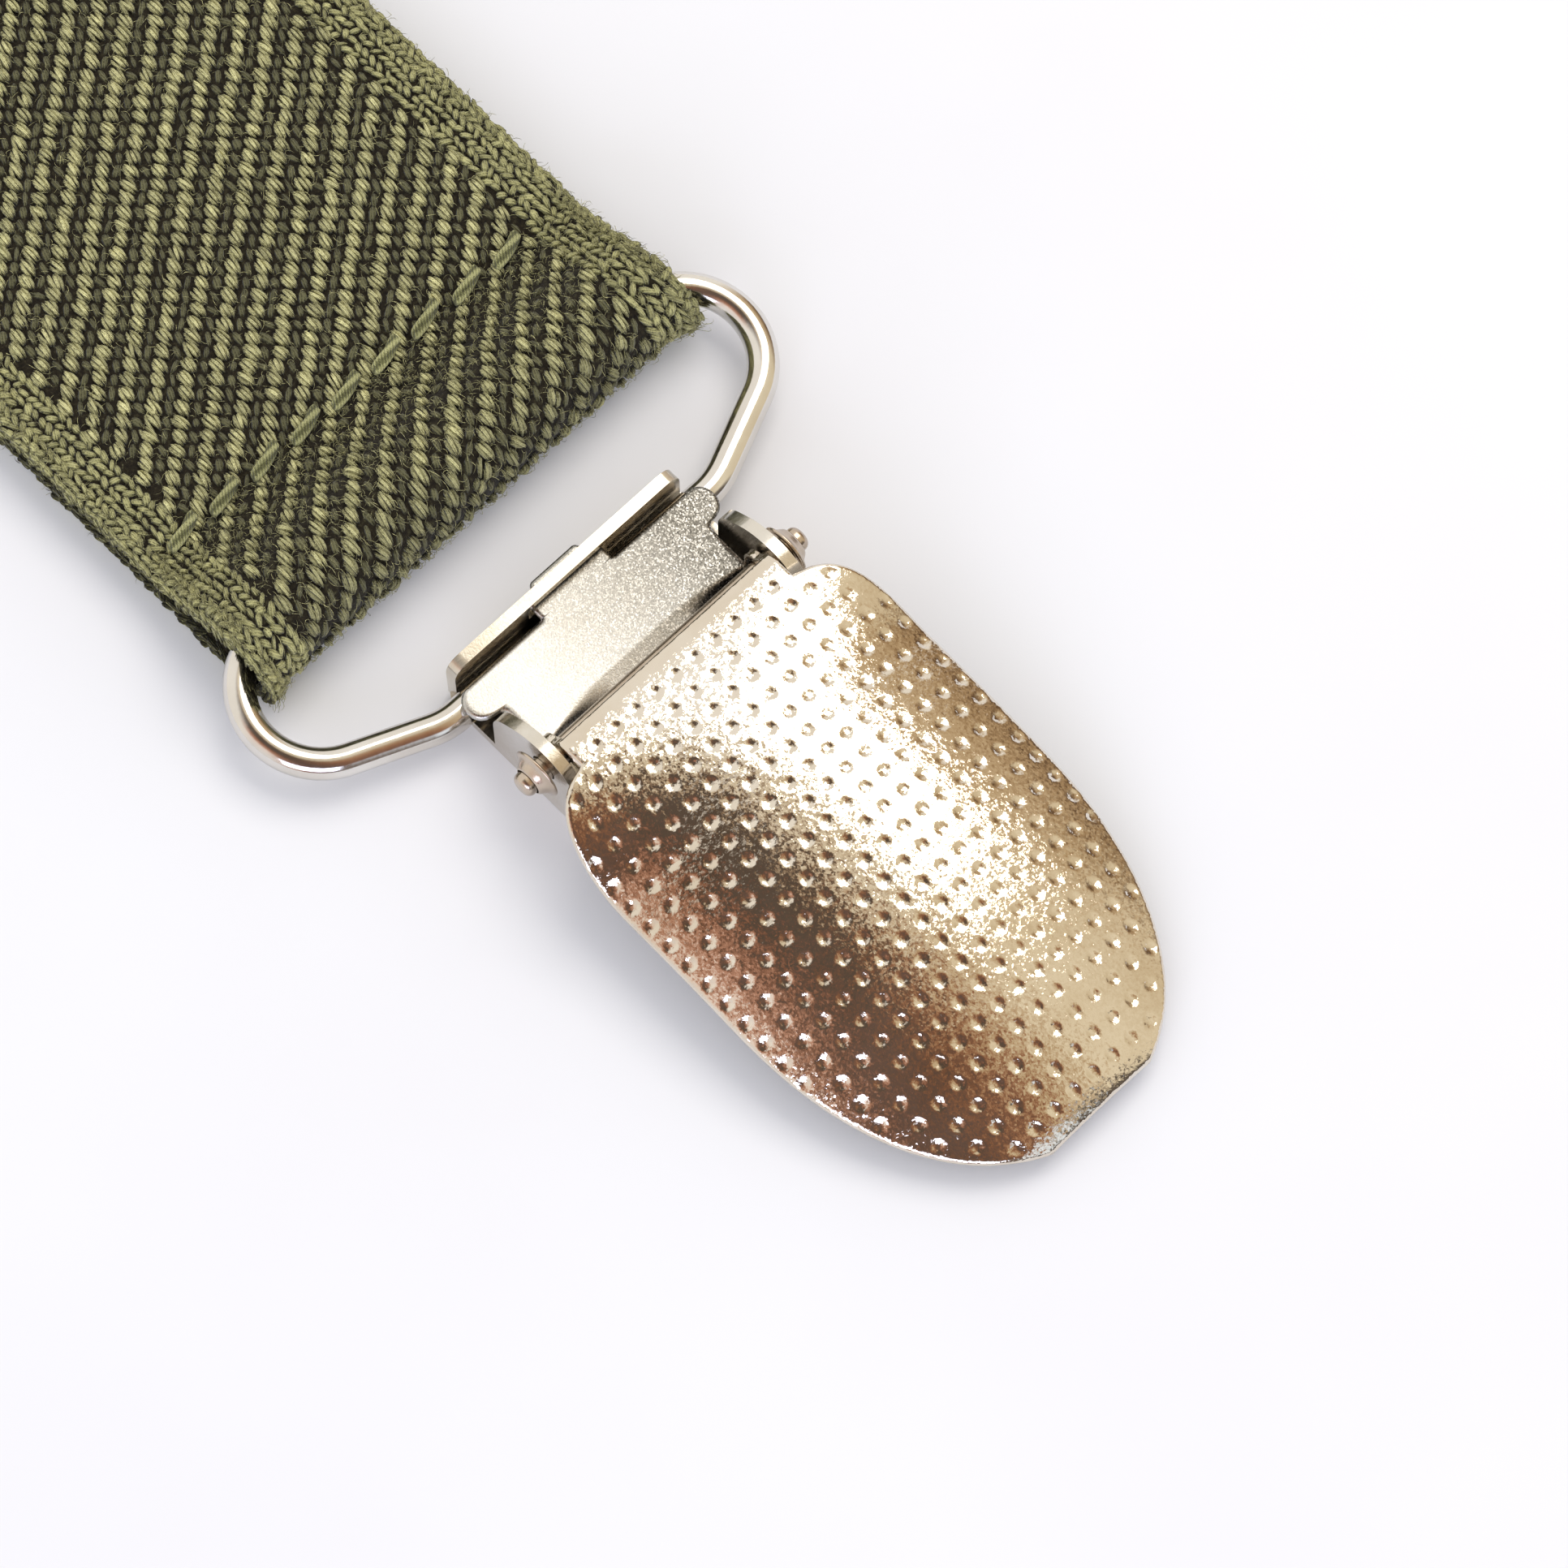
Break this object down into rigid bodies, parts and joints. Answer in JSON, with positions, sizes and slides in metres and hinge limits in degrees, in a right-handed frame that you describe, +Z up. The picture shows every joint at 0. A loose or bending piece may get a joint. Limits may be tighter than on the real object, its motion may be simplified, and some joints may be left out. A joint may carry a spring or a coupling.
{
  "type": "suspender clip",
  "caption": "Trouser-brace clip: dimpled lever cover, sprung jaws and a wire loop that carries the folded, stitched end of an elastic strap.",
  "frame": {"origin": "on the flat underside of the back plate, straight below the hinge pin, on the clip's middle plane", "axes": "+X along the hinge pin, +Y from the clip towards the strap, +Z up from the back plate to the lever cover"},
  "size_m": [0.0414, 0.0987, 0.0084],
  "materials": {
    "nickel_plate": "nickel plated sheet steel, polished",
    "nickel_satin": "nickel plated sheet steel, satin with a fine sparkle",
    "nickel_bright": "nickel plated sheet steel, bright, dimpled",
    "wire_nickel": "nickel plated wire, bright",
    "pin_steel": "nickel plated turned steel",
    "pad_plastic": "moulded ivory nylon",
    "webbing": "olive ribbed elastic webbing",
    "sewing_thread": "olive polyester sewing thread"
  },
  "bodies": {
    "base": {"back_plate": "nickel_plate", "lower_jaw_pad": "pad_plastic", "hinge_pin": "pin_steel", "pin_collar_left": "pin_steel", "pin_collar_right": "pin_steel"},
    "jaw": {"front_jaw": "nickel_satin", "upper_jaw_pad": "pad_plastic"},
    "lever": {"lever_cover": "nickel_bright"},
    "loop": {"wire_loop": "wire_nickel"},
    "strap": {"strap": "webbing", "needle_thread": "sewing_thread", "bobbin_thread": "sewing_thread"}
  },
  "joints": [
    {"name": "lever_pivot", "type": "hinge", "parent": "base", "child": "lever", "pos_m": [0, 0, 0.0053], "axis": [-1, 0, 0], "range_deg": [0, 90]},
    {"name": "jaw_swing", "type": "hinge", "parent": "base", "child": "jaw", "pos_m": [0, 0.0085, 0.00347], "axis": [-1, 0, 0], "range_deg": [0, 6]},
    {"name": "loop_swing", "type": "hinge", "parent": "base", "child": "loop", "pos_m": [0, 0.0069, 0.002], "axis": [1, 0, 0], "range_deg": [-30, 75]},
    {"name": "strap_swing", "type": "hinge", "parent": "loop", "child": "strap", "pos_m": [0, 0.0185, 0.0032], "axis": [1, 0, 0], "range_deg": [-20, 20]}
  ],
  "couplings": [
    {"joint": "jaw_swing", "follows": "lever_pivot", "ratio": 0.0666}
  ]
}
